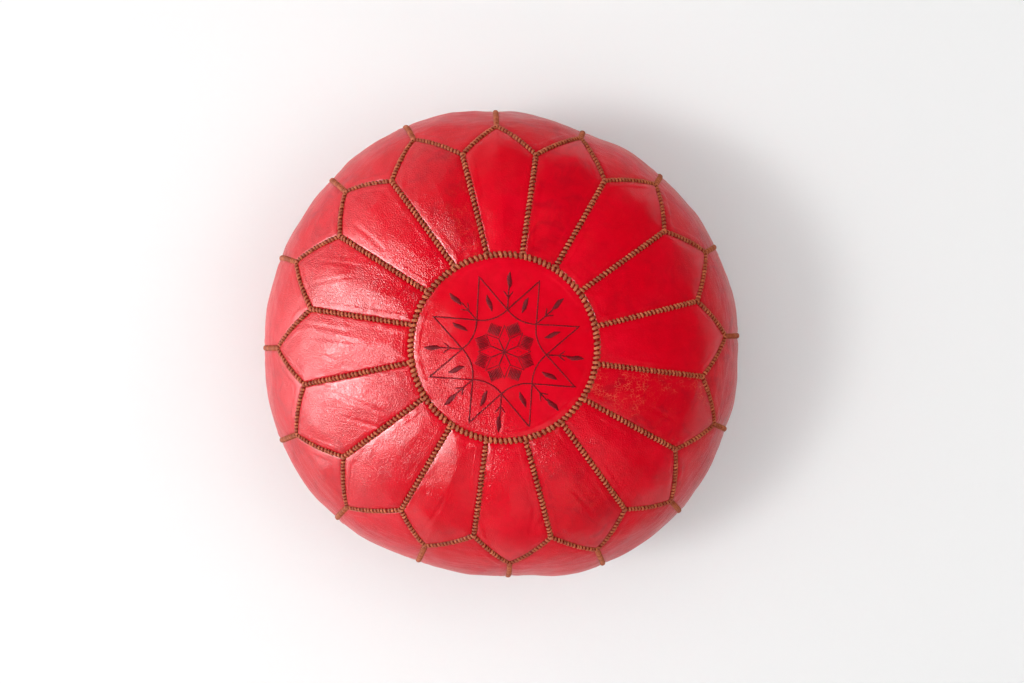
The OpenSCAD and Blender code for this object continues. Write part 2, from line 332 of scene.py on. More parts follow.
def fold(d):
    """The height of a panel's edge, d from the seam: it turns down steeply under the stitches."""
    x = np.clip((d - FOLD_START) / FOLD_W, 0, 1)
    return FOLD_DEPTH * (np.sqrt(1 - (1 - x) ** 2) - 1)


# Creases that the leather has taken, as (x, y) to (x, y) in plan in mm, their width and their depth
CREASES = (
    ((-215, 22), (-150, 14), 2.4, 0.50),
    ((-205, 8), (-140, 2), 2.6, 0.40),
    ((-212, -2), (-170, -16), 2.0, 0.40),
    ((-204, -34), (-150, -52), 2.4, 0.35),
    ((-190, -44), (-120, -70), 2.8, 0.40),
    ((-176, -70), (-118, -88), 2.4, 0.32),
    ((-206, 62), (-150, 70), 2.0, 0.30),
    ((-196, 88), (-140, 78), 2.2, 0.28),
    ((-160, 128), (-120, 92), 2.4, 0.35),
    ((-8, -98), (-4, -62), 2.4, 0.40),
    ((-90, -42), (-72, -58), 2.4, 0.60),
    ((-98, 64), (-112, 50), 2.0, 0.40),
    ((120, -150), (150, -185), 2.6, 0.40),
    ((60, -140), (95, -180), 2.6, 0.35),
    ((140, -60), (185, -84), 2.6, 0.30),
    ((100, 82), (150, 118), 2.8, 0.25),
    ((-30, 140), (-42, 190), 2.4, 0.25),
    ((30, -160), (22, -200), 2.4, 0.30),
    ((-60, -150), (-85, -190), 2.2, 0.35),
)


def creases(points):
    """The relief of the creases: a narrow valley with a low swell on each side."""
    relief = np.zeros(len(points))
    flat = points[:, :2]
    for p, q, width, depth in CREASES:
        p, q = np.array(p) * MM, np.array(q) * MM
        way = q - p
        share = (flat - p) @ way / (way @ way)
        side = (flat - p) @ np.array([-way[1], way[0]]) / np.linalg.norm(way) / (width * MM)
        side = side + 0.5 * np.sin(3.1 * share + depth * 9)
        taper = smooth(share * 4) * smooth((1 - share) * 4)
        relief += depth * MM * taper * (0.55 * np.exp(-((np.abs(side) - 1.5) ** 2)) - np.exp(-side * side))
    return relief * (points[:, 2] > EQUATOR_Z)


def panel_relief(points, s, rim, form, seed):
    """(height above the outline, distance to the seams) at the points of one panel."""
    crown, spread = form
    d = distance_to(points, rim)
    full = crown * (1 - np.exp(-d / spread))
    slack = smooth((d - 4 * MM) / (25 * MM))
    tight = np.exp(-((d - 6 * MM) ** 2) / (7 * MM) ** 2) * smooth((d - 2 * MM) / (2 * MM))
    relief = SLACK_WAVES[0] * waves(points, SLACK_WAVES[1], seed) * slack
    relief += FINE_WAVES[0] * waves(points, FINE_WAVES[1], seed + 1) * smooth((d - 3 * MM) / (12 * MM))
    relief += PUCKERS[0] * waves(points, PUCKERS[1], seed + 2) * tight
    under = smooth((ALLOWANCE_W - d) / (2 * MM)) * np.clip(0.5 + waves(points, 60 * MM, seed + 3), 0, 1)
    relief += ALLOWANCE_H * under
    height = fold(d) + full + relief + creases(points) * smooth((d - 1.5 * MM) / (3 * MM))
    pressed = resting(s)
    return height * (1 - 0.55 * pressed) - FLOOR_SINK * pressed, d


# -------- making meshes
def add_object(name, data):
    """A new object at the origin of the scene."""
    obj = bpy.data.objects.new(name, data)
    bpy.context.scene.collection.objects.link(obj)
    return obj


def make_mesh(name, points, faces, material, attributes=None):
    """An object at the origin with that mesh, smooth, and the attributes given for each point."""
    mesh = bpy.data.meshes.new(name)
    mesh.from_pydata(points.tolist(), [], faces)
    for key, values in (attributes or {}).items():
        layer = mesh.attributes.new(key, "FLOAT", "POINT")
        layer.data.foreach_set("value", np.asarray(values, dtype=np.float32))
    mesh.polygons.foreach_set("use_smooth", np.ones(len(mesh.polygons), dtype=bool))
    mesh.materials.append(material)
    mesh.update()
    return add_object(name, mesh)


def thicken(obj, thickness):
    """Gives a sheet its thickness, inward."""
    solid = obj.modifiers.new("thickness", "SOLIDIFY")
    solid.thickness = thickness
    solid.offset = -1


def put_on_pouf(obj, node):
    """Says which CAD node a piece of the pouf replaces."""
    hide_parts(node)
    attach(obj, "pouf")


def above_floor(points, clearance):
    """The same points, none lower than clearance above the floor."""
    points = points.copy()
    points[:, 2] = np.maximum(points[:, 2], clearance)
    return points


LEATHER_CLEAR = 0.4 * MM


def leather_panel(name, node, angle, s, form, seed, material, dull=None, grain=1.0, handled=0.0):
    """A panel of leather on a grid of (angle, distance down the outline), in place of its CAD node."""
    rows, columns = angle.shape
    k = np.arange(rows * columns).reshape(rows, columns)
    rim = np.concatenate([k[0], k[1:, -1], k[-1, -2::-1], k[-2::-1, 0]])
    angle, s = angle.ravel(), s.ravel()
    flat = on_pouf(angle, s)
    height, d = panel_relief(flat, s, flat[rim], form, seed)
    points = above_floor(on_pouf(angle, s, height), LEATHER_CLEAR)
    if dull is None:
        dull = np.random.default_rng(seed).uniform(0, 0.8)
    attributes = {"tone": dull, "coarse": grain, "handled": handled}
    attributes = {key: np.full(len(points), value) for key, value in attributes.items()}
    attributes["seam_gap"] = d / MM
    faces = grid_faces(rows, columns)
    corners = faces[rows // 2, :3]
    a, b, c = points[corners]
    outward = on_pouf(angle[corners[0]], s[corners[0]], 1.0) - a
    if np.cross(b - a, c - a) @ outward < 0:
        faces = faces[:, ::-1]
    obj = make_mesh(name, points, faces.tolist(), material, attributes)
    thicken(obj, LEATHER_T)
    put_on_pouf(obj, node)


def petal(i, base, material):
    """One petal: from the disc's seam out to its pointed end."""
    centre, disc_r, ring_ends, shoulders, peaks = BASE_FACE if base else TOP_FACE
    j = (i + 1) % PETALS
    u = spaced(np.linalg.norm(shoulders[j] - shoulders[i]) * 0.85)
    v = spaced(np.linalg.norm(peaks[i] - centre) - disc_r)
    edges = (
        arc(centre, ring_ends[i], ring_ends[j], u),
        zigzag(shoulders[i], peaks[i], shoulders[j], u),
        bowed(ring_ends[i], shoulders[i], v),
        bowed(ring_ends[j], shoulders[j], v),
    )
    angle, s = plan_to_pouf(patch(u, v, *edges), base)
    if base:
        node, form, seed, dull, grain = "base_petal", BASE_PETAL_FORM, 200 + i, None, BASE_GRAIN
    else:
        node, form, seed, dull, grain = "top_petal", TOP_PETAL_FORM, 100 + i, DULL[i], GRAIN[i]
    node += f"_{i + 1:02d}"
    leather_panel(f"{node}_leather", node, angle, s, form, seed, material, dull, grain)


def unwrapped(pairs, like):
    """The (angle, distance) pairs with their angles within half a turn of like."""
    pairs = pairs.copy()
    pairs[:, 0] = like + half_turn(pairs[:, 0] - like)
    return pairs


def side_panel(i, material):
    """One side panel, from its V between two top petals down to its V between two base petals."""
    j = (i + 1) % PETALS
    u = spaced(94 * MM)
    v = spaced(230 * MM)
    middle = math.radians(SEAM_AT[i] + PITCH)
    top = np.stack(plan_to_pouf(zigzag(PEAKS[i], SHOULDERS[j], PEAKS[j], u)), -1)
    bottom = zigzag(BASE_PEAKS[i], BASE_SHOULDERS[j], BASE_PEAKS[j], u)
    bottom = np.stack(plan_to_pouf(bottom, True), -1)
    left, right = between(PEAKS[i], BASE_PEAKS[i], v), between(PEAKS[j], BASE_PEAKS[j], v)
    edges = [unwrapped(e, middle) for e in (top, bottom, left, right)]
    grid = patch(u, v, *edges)
    angle, s = grid[..., 0], grid[..., 1]
    node = f"side_panel_{i + 1:02d}"
    look = {"grain": SIDE_GRAIN, "handled": 1.0}
    leather_panel(f"{node}_leather", node, angle, s, SIDE_FORM, 300 + i, material, **look)


def medallion(material):
    """The round top piece, on a square grid drawn out into a disc."""
    n = round(2 * MEDALLION_R / DETAIL)
    disc = drawn_round(*np.meshgrid(np.linspace(-1, 1, n), np.linspace(-1, 1, n)))
    angle, s = plan_to_pouf(MEDALLION_AT + MEDALLION_R * disc)
    # The hide is coarser towards one side of it
    grain = 0.1 + 0.8 * smooth((disc @ np.array([-0.8, -0.6]) - 0.1) / 0.6).ravel()
    name, node = "medallion_leather", "top_medallion"
    leather_panel(name, node, angle, s, DISC_FORM, MEDALLION_SEED, material, 0.1, grain)


# -------- stitches
def tube(line, radius, sides=6):
    """The rings of points of a round thread along a line, and then the points at its two ends."""
    line = np.asarray(line)
    way = unit(np.gradient(line, axis=0))
    up = np.cross(way, np.cross(way[len(way) // 2], way[0] - way[-1]) + 1e-6)
    up -= (up * way).sum(1)[:, None] * way
    up /= np.linalg.norm(up, axis=1)[:, None] + 1e-12
    side = np.cross(way, up)
    radius = np.broadcast_to(radius, len(line))
    a = 2 * math.pi * np.arange(sides) / sides
    rings = (line[:, None] + radius[:, None, None]
             * (np.cos(a)[None, :, None] * up[:, None] + np.sin(a)[None, :, None] * side[:, None]))
    return np.concatenate([rings.reshape(-1, 3), line[:1], line[-1:]])


class Threads:
    """A bundle of short threads that becomes one mesh."""

    def __init__(self):
        self.points, self.faces, self.marks, self.count = [], [], [], 0

    def add(self, line, radius, mark=0.5, sides=6):
        points = tube(line, radius, sides)
        self.points.append(points)
        self.marks.append(np.full(len(points), mark))
        self.faces += closed_faces(len(line), sides, self.count)
        self.count += len(points)

    def finish(self, name, node, slot, material):
        attributes = {"mark": np.concatenate(self.marks)}
        obj = make_mesh(name, np.concatenate(self.points), self.faces, material, attributes)
        put_on_pouf(obj, node)


def even(line, step, place):
    """The same line of pairs with points that lie step apart, measured where their places are."""
    run = np.concatenate([[0], np.cumsum(np.linalg.norm(np.diff(place, axis=0), axis=1))])
    at = np.linspace(0, run[-1], max(2, round(run[-1] / step) + 1))
    return np.stack([np.interp(at, run, line[:, 0]), np.interp(at, run, line[:, 1])], -1)


def seam_frames(line):
    """Along (angle, distance) pairs: the place, and the directions along, across and out of the pouf."""
    angle, s = line[:, 0], line[:, 1]
    place = on_pouf(angle, s)
    along = unit(np.gradient(place, axis=0))
    out = on_pouf(angle, s, 1.0) - place
    out = unit(out - (out * along).sum(1)[:, None] * along)
    return place, along, np.cross(along, out), out


def sink(line):
    """How far the seams are pressed into the base where it rests on the floor."""
    return SEAM_SINK * resting(line[:, 1])


# Room between the floor and the stitches and welts, and the depth of the needle's holes
STITCH_CLEAR, WELT_CLEAR = 0.3 * MM, 1.0 * MM
HOLE_DEPTH = 1.4 * MM

# The stitches of each kind of seam: width, pitch, rise, slant and the thread's radius
RING_STITCH = (6.0 * MM, 5.1 * MM, 3.7 * MM, 0.16, 1.05 * MM)
RADIAL_STITCH = (5.2 * MM, 4.35 * MM, 3.5 * MM, 0.2, 0.8 * MM)
ZIGZAG_STITCH = (4.9 * MM, 4.1 * MM, 3.3 * MM, 0.2, 0.76 * MM)
SIDE_STITCH = (5.2 * MM, 3.9 * MM, 3.0 * MM, 0.12, 0.8 * MM)


def overcast(threads, welt, line, width, pitch, rise, slant, thread_r):
    """Stitches over one seam: each is a pair of twisted plies from hole to hole across the raised edge."""
    line = even(line, pitch, on_pouf(line[:, 0], line[:, 1]))
    place, along, across, out = seam_frames(line)
    low = sink(line)
    turn = np.linspace(0.08, math.pi - 0.08, 9)
    thickness = thread_r * (0.75 + 0.25 * np.sin(turn))
    for k in range(len(line)):
        wide = width / 2 * rng.uniform(0.93, 1.07)
        high = rise * rng.uniform(0.92, 1.08)
        lean = rng.normal(0, 0.12)
        shift = rng.normal(0, 0.06) * pitch
        mark = rng.uniform(0, 1)
        for ply in (0, 1):
            twist = (turn - math.pi / 2) * 0.5 + ply * math.pi
            x = wide * np.cos(turn)
            y = (slant + lean * 0.3) * pitch * np.cos(turn) + shift + 0.55 * thread_r * np.cos(twist)
            z = high * np.sin(turn) ** 0.8 - HOLE_DEPTH + 0.45 * thread_r * np.sin(twist) - low[k]
            bar = place[k] + x[:, None] * across[k] + y[:, None] * along[k] + z[:, None] * out[k]
            threads.add(above_floor(bar, STITCH_CLEAR + thread_r), thickness, mark)
    core = place + out * (rise - HOLE_DEPTH - thread_r * 1.5 - low)[:, None]
    welt_r = width * 0.27
    welt.add(above_floor(core, WELT_CLEAR + welt_r), welt_r, 0.1, 8)


def plan_line(points, base):
    """(angle, distance) pairs of a line seen in plan, with no jump in the angle."""
    angle, s = plan_to_pouf(points, base)
    return np.stack([np.unwrap(angle), s], -1)


FINE = np.linspace(0, 1, 80)


def sew_face(threads, welt, base):
    """All the seams of the top or of the base."""
    centre, disc_r, ring_ends, shoulders, peaks = BASE_FACE if base else TOP_FACE
    ring = centre + polar(disc_r, np.linspace(0, 360, 721))
    overcast(threads, welt, plan_line(ring, base), *RING_STITCH)
    for i in range(PETALS):
        j = (i + 1) % PETALS
        radial = plan_line(bowed(ring_ends[i], shoulders[i], 0.03 + 0.97 * FINE), base)
        overcast(threads, welt, radial, *RADIAL_STITCH)
        for p, q in ((shoulders[i], peaks[i]), (peaks[i], shoulders[j])):
            edge = plan_line(bowed(p, q, 0.02 + 0.96 * FINE, PETAL_BOW), base)
            overcast(threads, welt, edge, *ZIGZAG_STITCH)


def sew(material, painted_shade_welt_material):
    """Every seam of the cover, as the upper and the lower stitching, each over its raised leather edges."""
    upper, lower = Threads(), Threads()
    upper_welt, lower_welt = Threads(), Threads()
    sew_face(upper, upper_welt, False)
    sew_face(lower, lower_welt, True)
    for i in range(PETALS):
        for threads, welt, share in ((upper, upper_welt, FINE / 2), (lower, lower_welt, 0.5 + FINE / 2)):
            line = between(PEAKS[i], BASE_PEAKS[i], 0.015 + 0.97 * share)
            overcast(threads, welt, line, *SIDE_STITCH)
    upper.finish("upper_stitches", "upper_seam_thread", "seam_thread", material)
    lower.finish("lower_stitches", "lower_seam_thread", "seam_thread", material)
    upper_welt.finish("upper_welt", "upper_seam_thread", "red_leather", painted_shade_welt_material)
    lower_welt.finish("lower_welt", "lower_seam_thread", "red_leather", painted_shade_welt_material)


# -------- embroidery
EMBROIDERY_AT = MEDALLION_AT + np.array([0.0, -4.2]) * MM
STAR_R = 80 * MM
STAR_TURN = 18.5
RAYS = 8
RAY = 360 / RAYS
CROSS_R = 42.5 * MM
BOW_R = 35.5 * MM
ROSETTE_TURN = 4.5
ROSETTE_SIDE = 14.4 * MM
SILK_R = 0.58 * MM
FINE_SILK_R = 0.36 * MM
LEAF_PITCH = 1.0 * MM
SQUARE_PITCH = 1.5 * MM

# Leaves along a ray: where they start and end, and half their width
INNER_LEAF = (43 * MM, 60 * MM, 2.6 * MM)
SPRIG_LEAF = (64 * MM, 81 * MM, 2.7 * MM)
SPRIG_R = 66 * MM

# How far the silk stands above the leather, in lines and in filled shapes, and how deep its ends go
LINE_LIFT = 0.3 * MM
SATIN_LIFT = 0.35 * MM
END_DEPTH = 0.5 * MM

# The knots in each rhombus of the rosette: their distance out in mm and their turn from its middle
KNOTS = ((10.5, -4), (13.0, 4), (16.5, 0))
KNOT_LINE = np.array([[-0.5, 0], [0, 0.2], [0.5, 0]]) * MM
KNOT_LIFT = 0.4 * MM


def medallion_rim():
    return on_pouf(*plan_to_pouf(MEDALLION_AT + polar(MEDALLION_R, np.linspace(0, 360, 181))))


def on_medallion(plan, lift, rim):
    """Points on the medallion's leather, seen in plan at those places, raised by lift."""
    angle, s = plan_to_pouf(plan)
    flat = on_pouf(angle, s)
    height, _ = panel_relief(flat, s, rim, DISC_FORM, MEDALLION_SEED)
    return on_pouf(angle, s, height + lift)


def silk(threads, plan, rim, radius, high=SATIN_LIFT):
    """One stitch of silk along a short line in plan: its ends go down through the leather."""
    share = np.linspace(0, 1, len(plan))
    lift = -END_DEPTH + (high + END_DEPTH) * np.sin(math.pi * share) ** 0.5
    thickness = radius * (0.7 + 0.3 * np.sin(math.pi * share))
    threads.add(on_medallion(plan, lift, rim), thickness, rng.uniform(0, 1), 5)


def stem_stitch(threads, line, rim, step=2.9 * MM, radius=SILK_R):
    """A line of slanting stitches, each starting beside the last one's middle."""
    line = even(line, step, line)
    for k in range(len(line) - 1):
        way = line[k + 1] - line[k]
        side = np.array([-way[1], way[0]]) * 0.2
        start, end = line[k] - way * 0.28 - side, line[k + 1] + way * 0.28 + side
        start = start + rng.normal(0, 0.12 * MM, 2)
        silk(threads, start + (end - start) * np.linspace(0, 1, 6)[:, None], rim, radius, LINE_LIFT)


def turned(points, degrees):
    a = math.radians(degrees)
    return points @ np.array([[math.cos(a), math.sin(a)], [-math.sin(a), math.cos(a)]])


def leaf(threads, at, degrees, form, rim):
    """A satin-stitched leaf along a ray from the point at: V-shaped bars that widen to its middle."""
    r_in, r_out, half_w = form
    count = round((r_out - r_in) / LEAF_PITCH)
    for k in range(count):
        share = (k + 0.5) / count
        w = half_w * (math.sin(math.pi * share) ** 1.3 + 0.12) * rng.uniform(0.9, 1.15)
        x = r_in + (r_out - r_in) * share
        bar = np.array([[x - 0.9 * w, -w], [x, 0], [x + 0.9 * w, w]])
        bar = np.stack([np.interp(np.linspace(0, 2, 6), range(3), bar[:, i]) for i in (0, 1)], -1)
        silk(threads, at + turned(bar, degrees), rim, 0.5 * MM)


def satin_square(threads, at, degrees, side, rim):
    """A filled square: parallel wavy bars of silk with the leather showing between them."""
    count = round(side / SQUARE_PITCH)
    share = np.linspace(-0.5, 0.5, 15)
    start = rng.uniform(0, math.pi)
    for k in range(count):
        y = side * ((k + 0.5) / count - 0.5)
        wave = 0.32 * MM * np.sin(share * 24 + start)
        bar = np.stack([side * share * rng.uniform(0.94, 1.03), y + wave], -1)
        silk(threads, at + turned(bar, degrees), rim, 0.56 * MM)


def strand(k):
    """One strand of the star: from a point in past a crossing, bowed inward, and out to a further point."""
    a = STAR_TURN + RAY * k
    ends = polar(STAR_R, a), polar(STAR_R, a + 2 * RAY)
    crossings = polar(CROSS_R, a + RAY / 2), polar(CROSS_R, a + 1.5 * RAY)
    bow = polar(BOW_R, a + RAY)
    t = np.linspace(0, 1, 24)[:, None]
    pull = 4 * bow - crossings[0] - crossings[1]
    middle = crossings[0] * (1 - t) ** 2 + pull * t * (1 - t) + crossings[1] * t**2
    return np.concatenate([ends[:1], middle, ends[1:]])


def embroider(material):
    """The star of eight crossing strands, its leaves and sprigs, and the rosette in its middle."""
    threads, rim, at = Threads(), medallion_rim(), EMBROIDERY_AT
    s = ROSETTE_SIDE
    for k in range(RAYS):
        a = STAR_TURN + RAY * k
        stem_stitch(threads, at + strand(k), rim)
        leaf(threads, at, a + rng.uniform(-3, 3), INNER_LEAF, rim)
        # A sprig between two star points: a stem, a pair of twigs and a leaf at its end
        b = a + RAY / 2
        stem_stitch(threads, at + np.stack([polar(CROSS_R, b), polar(SPRIG_R, b)]), rim)
        for side in (-1, 1):
            twig = np.array([[55, 0], [61, side * 4.6]]) * MM
            stem_stitch(threads, at + turned(twig, b), rim, 2.6 * MM)
            tip = np.array([[59.5, side * 5.4], [62.0, side * 3.4]]) * MM
            silk(threads, at + turned(tip, b), rim, SILK_R, LINE_LIFT)
        leaf(threads, at, b + rng.uniform(-2, 2), SPRIG_LEAF, rim)
        # The rosette: a spoke, the two outer sides of a rhombus, knots inside it, and a filled square
        a += ROSETTE_TURN + rng.uniform(-1.5, 1.5)
        spoke, following = polar(s, a), polar(s, a + RAY)
        stem_stitch(threads, at + np.stack([polar(0.5 * MM, a), spoke]), rim, 2.4 * MM)
        for start in (spoke, following):
            stem_stitch(threads, at + np.stack([start, spoke + following]), rim, 2.4 * MM, FINE_SILK_R)
        for r, turn in KNOTS:
            knot = polar(r * MM, a + RAY / 2 + turn) + KNOT_LINE
            silk(threads, at + knot, rim, 0.5 * MM, KNOT_LIFT)
        centre = polar(s * (1 + math.cos(math.radians(RAY))), a)
        satin_square(threads, at + centre, a + RAY * (1 if k % 2 else -1), s * 0.85, rim)
    threads.finish("star_embroidery", "medallion_embroidery", "embroidery_thread", material)


# -------- the base and its zip
RECESS_Y = 9 * MM
RECESS_H = 8 * MM
EDGE_TURN_R = 1.5 * MM
TAPE_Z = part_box("zip_tape_back")[1].z - 0.6 * MM
ZIP_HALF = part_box("zip_tape_back")[1].x
COIL_Y = 2.15 * MM
COIL_HALF = (0.92 * MM, 0.74 * MM)
COIL_R = 0.32 * MM
COIL_PITCH = 1.6 * MM
TAPE_IN, TAPE_OUT = 0.9 * MM, 20 * MM
TAPE_HALF = BASE_DISC_R + 4 * MM
TAPE_T = 0.45 * MM

# The rounded cord along each tape's inner edge: its height, its width and its place on the tape
CORD_H, CORD_W, CORD_IN = 0.18 * MM, 0.8 * MM, 3.2 * MM

# The dent of the bags over the zip: half its length and width, its soft edge and its depth
DENT_HALF = (150 * MM, 30 * MM)
DENT_EDGE = 6 * MM
DENT_DEPTH = 13 * MM


def base_half(side, material):
    """Half of the base disc: a leather half-round with its straight edge turned up along the zip."""
    n = round(2 * BASE_DISC_R / (DETAIL * 1.3))
    disc = drawn_round(*np.meshgrid(np.linspace(-1, 1, n), np.linspace(0, 1, n // 2)))
    x, y = disc[..., 0], disc[..., 1]
    chord = math.sqrt(BASE_DISC_R**2 - RECESS_Y**2)
    plan = np.stack([x * (BASE_DISC_R + (chord - BASE_DISC_R) * (1 - y)), 0 * y], -1)
    plan[..., 1] = side * (RECESS_Y + EDGE_TURN_R + y * (BASE_DISC_R - RECESS_Y - EDGE_TURN_R))
    angle, s = plan_to_pouf(plan.reshape(-1, 2), True)
    flat = on_pouf(angle, s)
    rim = on_pouf(*plan_to_pouf(polar(BASE_DISC_R, np.linspace(4, 176, 120) * side), True))
    height, d = panel_relief(flat, s, rim, DISC_FORM, 40 + side)
    points = above_floor(on_pouf(angle, s, height), LEATHER_CLEAR).reshape(n // 2, n, 3)
    # The turned edge: a quarter round, then straight up beside the zip
    edge = points[0]
    turn = np.linspace(math.pi / 2, 0, 6)[:-1]
    rows = [edge + EDGE_TURN_R * np.array([0, -side * math.cos(t), 1 - math.sin(t)]) for t in turn]
    for z in np.linspace(2 * MM, RECESS_H - 0.2 * MM, 6):
        row = edge + np.array([0, -side * EDGE_TURN_R, 0])
        row[:, 2] = z
        rows.append(row)
    grid = np.concatenate([np.array(rows)[::-1], points[1:]])
    faces = grid_faces(*grid.shape[:2])
    if side < 0:
        faces = faces[:, ::-1]
    gap = np.full(grid.shape[:2], 30.0)
    gap[-(n // 2 - 1):] = d.reshape(n // 2, n)[1:] / MM
    name = "back" if side > 0 else "front"
    attributes = {"tone": np.full(gap.size, 0.4), "coarse": np.ones(gap.size), "seam_gap": gap.ravel()}
    faces = faces[:, ::-1].tolist()
    obj = make_mesh(f"base_disc_{name}_leather", grid.reshape(-1, 3), faces, material, attributes)
    thicken(obj, LEATHER_T)
    put_on_pouf(obj, f"base_disc_{name}")


def zip_side(side, cloth, coil_material):
    """One side of the zip: a woven tape with a rounded cord at its edge, and its row of nylon coil."""
    name = "zip_tape_back" if side > 0 else "zip_tape_front"
    x = np.linspace(-TAPE_HALF, TAPE_HALF, 210)
    y = [np.linspace(TAPE_IN, TAPE_IN + 2 * MM, 6), np.linspace(TAPE_IN + 3 * MM, TAPE_OUT, 24)]
    y = np.concatenate(y)
    gx, gy = np.meshgrid(x, y)
    cord = CORD_H * np.exp(-(((gy - TAPE_IN - CORD_IN) / CORD_W) ** 2))
    ripple = 0.06 * MM * np.sin(gx / (9 * MM)) * smooth((gy - 4 * MM) / (6 * MM))
    gz = TAPE_Z + 0.5 * MM + cord + ripple
    faces = grid_faces(len(y), len(x))[:, ::side].tolist()
    tape = make_mesh(f"{name}_cloth", np.stack([gx, side * gy, gz], -1).reshape(-1, 3), faces, cloth)
    thicken(tape, TAPE_T)
    put_on_pouf(tape, name)
    coil = Threads()
    turns = 2 * ZIP_HALF / COIL_PITCH
    t = np.linspace(0, turns * 2 * math.pi, round(turns * 12))
    line = np.stack([
        -ZIP_HALF + COIL_PITCH * t / (2 * math.pi),
        side * (COIL_Y + COIL_HALF[0] * np.cos(t)),
        TAPE_Z - 1.1 * MM + COIL_HALF[1] * np.sin(t),
    ], -1)
    coil.add(line, COIL_R)
    coil.finish(f"{name}_coil", name, "zip_tape", coil_material)


def filled_bag(name, node, inset, relief, size, seed, material):
    """A closed round form inside the cover, dented over the zip."""
    angle = np.linspace(0, 2 * math.pi, 241)[:-1]
    s = np.linspace(0.004, EVEN_S[-1] - 0.004, 180)
    ga, gs = np.meshgrid(angle, s)
    flat = on_pouf(ga.ravel(), gs.ravel(), -inset)
    # Even the highest bumps stay inside the inset
    height = relief * np.clip(waves(flat, size, seed), -1.6, 1.6) - inset - 1.7 * relief
    points = on_pouf(ga.ravel(), gs.ravel(), height) * (1 - 5 * MM / EQUATOR_R)
    x, y = np.abs(points[:, 0]), np.abs(points[:, 1])
    over_zip = smooth((DENT_HALF[1] - y) / DENT_EDGE) * smooth((DENT_HALF[0] - x) / DENT_EDGE)
    points[:, 2] = np.maximum(points[:, 2], inset + 1.7 * relief + over_zip * DENT_DEPTH)
    crown, foot = points[: len(angle)].mean(0), points[-len(angle):].mean(0)
    faces = [face[::-1] for face in closed_faces(len(s), len(angle))]
    obj = make_mesh(name, np.concatenate([points, [crown, foot]]), faces, material)
    put_on_pouf(obj, node)


# -------- materials
class Shader:
    """A material's nodes, added and joined in short lines."""

    def __init__(self, name):
        self.material = bpy.data.materials.new(name)
        self.material.use_nodes = True
        self.tree = self.material.node_tree
        self.surface = self.tree.nodes["Principled BSDF"]
        self.place = self.tree.nodes.new("ShaderNodeTexCoord").outputs["Object"]

    def add(self, kind, inputs=None, **settings):
        node = self.tree.nodes.new(kind)
        for key, value in settings.items():
            setattr(node, key, value)
        for key, value in (inputs or {}).items():
            self.join(value, node.inputs[key])
        return node

    def join(self, value, socket):
        """Links a node's output to a socket, or gives the socket a number, a vector or an (r, g, b)."""
        if isinstance(value, bpy.types.NodeSocket):
            self.tree.links.new(value, socket)
        else:
            socket.default_value = (*value, 1.0) if socket.type == "RGBA" else value

    def noise(self, scale, detail=3.0, rough=0.5, distortion=0.0, place=None):
        node = self.add("ShaderNodeTexNoise", {
            "Vector": place or self.place, "Scale": scale, "Detail": detail,
            "Roughness": rough, "Distortion": distortion})
        return node.outputs["Fac"]

    def cells(self, scale, place):
        """How far in each place lies from the edges of random cells."""
        inputs = {"Scale": scale, "Vector": place}
        return self.add("ShaderNodeTexVoronoi", inputs, feature="DISTANCE_TO_EDGE").outputs["Distance"]

    def ramp(self, value, low, high, out_low=0.0, out_high=1.0):
        """value from low to high, spread smoothly from out_low to out_high."""
        node = self.add("ShaderNodeMapRange", {
            "Value": value, "From Min": low, "From Max": high, "To Min": out_low, "To Max": out_high},
            interpolation_type="SMOOTHSTEP")
        return node.outputs["Result"]

    def maths(self, operation, a, b=0.0):
        return self.add("ShaderNodeMath", {0: a, 1: b}, operation=operation).outputs[0]

    def times(self, a, b):
        return self.maths("MULTIPLY", a, b)

    def plus(self, a, b):
        return self.maths("ADD", a, b)

    def veins(self, noise):
        """How far the noise is from its middle value, which it has along thin winding lines."""
        return self.maths("ABSOLUTE", self.maths("SUBTRACT", noise, 0.5))

    def mix(self, share, a, b):
        node = self.add("ShaderNodeMix", data_type="RGBA")
        self.join(share, node.inputs["Factor"])
        self.join(a, node.inputs[6])
        self.join(b, node.inputs[7])
        return node.outputs[2]

    def attribute(self, name):
        return self.add("ShaderNodeAttribute", attribute_name=name).outputs["Fac"]

    def stretched(self, x, y, z):
        """The place, with each axis that many times as long."""
        inputs = {0: self.place, 1: (x, y, z)}
        return self.add("ShaderNodeVectorMath", inputs, operation="MULTIPLY").outputs[0]

    def weave(self, **rates):
        """Two crossing waves, each along an axis with that many radians to the metre."""
        xyz = self.add("ShaderNodeSeparateXYZ", {"Vector": self.place})
        angles = [self.times(xyz.outputs[axis], rate) for axis, rate in rates.items()]
        return self.times(*[self.maths("SINE", angle) for angle in angles])

    def bump(self, height, distance, strength=1.0, normal=None):
        inputs = {"Height": height, "Distance": distance, "Strength": strength}
        if normal is not None:
            inputs["Normal"] = normal
        return self.add("ShaderNodeBump", inputs).outputs["Normal"]

    def finish(self, **sockets):
        for key, value in sockets.items():
            self.join(value, self.surface.inputs[key.replace("_", " ")])
        return self.material


